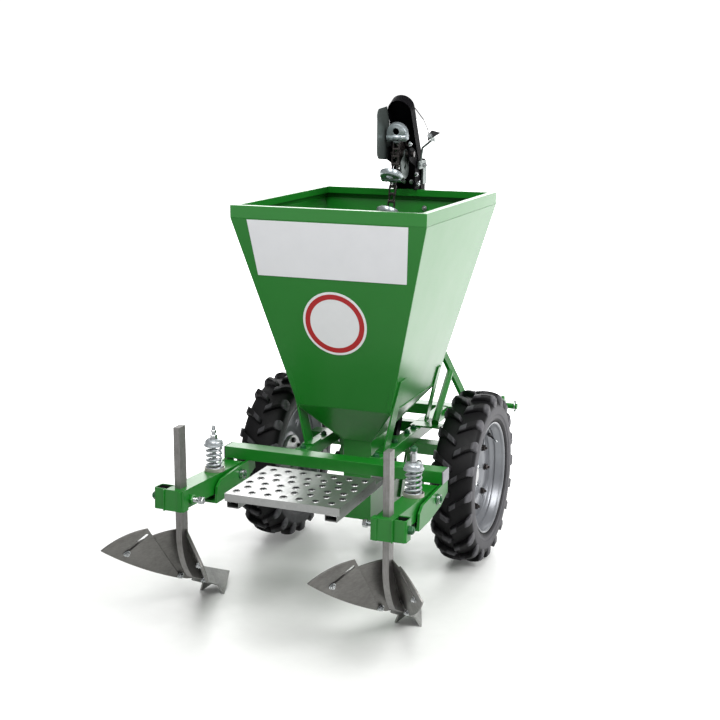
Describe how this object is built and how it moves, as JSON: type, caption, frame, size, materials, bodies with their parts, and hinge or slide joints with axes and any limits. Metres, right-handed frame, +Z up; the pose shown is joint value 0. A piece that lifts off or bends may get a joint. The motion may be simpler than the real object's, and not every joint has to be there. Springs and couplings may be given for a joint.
{
  "type": "potato planter",
  "caption": "Trailed one-row potato planter: green hopper, cup elevator with hood, wheels, step, and sprung arms carrying ridger bodies that close the furrow.",
  "frame": {"origin": "on the floor under the middle of the machine", "axes": "+X to the right side as seen from behind, +Y forwards in the direction of travel, +Z up"},
  "size_m": [1.0208, 1.4658, 1.577],
  "materials": {
    "green_paint": "gloss",
    "grey_plastic": "matt",
    "black_iron": "satin",
    "tread_plate": "satin",
    "white_sign": "satin",
    "round_sign": "satin",
    "black_sheet": "satin",
    "grey_sheet": "satin",
    "raw_steel": "satin",
    "chain_steel": "oiled",
    "zinc": "bright",
    "tyre": "matt",
    "rim_silver": "satin",
    "hub_steel": "satin",
    "spring_steel": "zinc plated",
    "share_steel": "satin",
    "mould_steel": "brushed"
  },
  "bodies": {
    "frame": {"rear_beam": "green_paint", "rear_beam_caps": "grey_plastic", "rails": "green_paint", "front_beam": "green_paint", "cross_member": "green_paint", "axle_beam": "green_paint", "axle_hangers": "green_paint", "bearing_blocks": "black_iron", "lower_hitch": "green_paint", "mast": "green_paint", "mast_braces": "green_paint", "step_plate": "tread_plate", "step_rails": "tread_plate", "hopper_rear_panel": "green_paint", "hopper_front_panel": "green_paint", "hopper_left_panel": "green_paint", "hopper_right_panel": "green_paint", "hopper_rim": "green_paint", "hopper_funnel": "green_paint", "hopper_legs": "green_paint", "rear_sign_plate": "white_sign", "round_sign_plate": "round_sign", "elevator_boot": "green_paint", "drop_tube": "black_sheet", "elevator_hood": "black_sheet", "side_guard": "grey_sheet", "head_sprocket": "raw_steel", "head_bracket": "black_sheet", "elevator_chain": "chain_steel", "seed_cups": "zinc", "chain_shaker": "grey_sheet", "furrow_opener": "green_paint", "arm_brackets": "green_paint", "arm_pivot_pins": "zinc", "spring_rods": "zinc", "left_spring": "spring_steel", "right_spring": "spring_steel"},
    "left_wheel": {"left_tyre": "tyre", "left_rim": "rim_silver", "left_hub": "hub_steel"},
    "left_ridger": {"left_arm": "green_paint", "left_shank_clamp": "green_paint", "left_spring_seat": "zinc", "left_shank": "raw_steel", "left_share": "share_steel", "left_mouldboards": "mould_steel", "left_wings": "mould_steel"},
    "right_wheel": {"right_tyre": "tyre", "right_rim": "rim_silver", "right_hub": "hub_steel"},
    "right_ridger": {"right_arm": "green_paint", "right_shank_clamp": "green_paint", "right_spring_seat": "zinc", "right_shank": "raw_steel", "right_share": "share_steel", "right_mouldboards": "mould_steel", "right_wings": "mould_steel"}
  },
  "joints": [
    {"name": "left_wheel_spin", "type": "hinge", "parent": "frame", "child": "left_wheel", "pos_m": [-0.3525, 0.2709, 0.295], "axis": [1, 0, 0], "continuous": true},
    {"name": "left_arm_swing", "type": "hinge", "parent": "frame", "child": "left_ridger", "pos_m": [-0.3375, -0.2201, 0.368], "axis": [-1, 0, 0], "range_deg": [0, 12], "stiffness_Nm_per_rad": 156, "springref_deg": -7.45, "deforming": ["left_spring"]},
    {"name": "right_wheel_spin", "type": "hinge", "parent": "frame", "child": "right_wheel", "pos_m": [0.3525, 0.2709, 0.295], "axis": [1, 0, 0], "continuous": true},
    {"name": "right_arm_swing", "type": "hinge", "parent": "frame", "child": "right_ridger", "pos_m": [0.3375, -0.2201, 0.368], "axis": [-1, 0, 0], "range_deg": [0, 12], "stiffness_Nm_per_rad": 156, "springref_deg": -7.45, "deforming": ["right_spring"]}
  ]
}
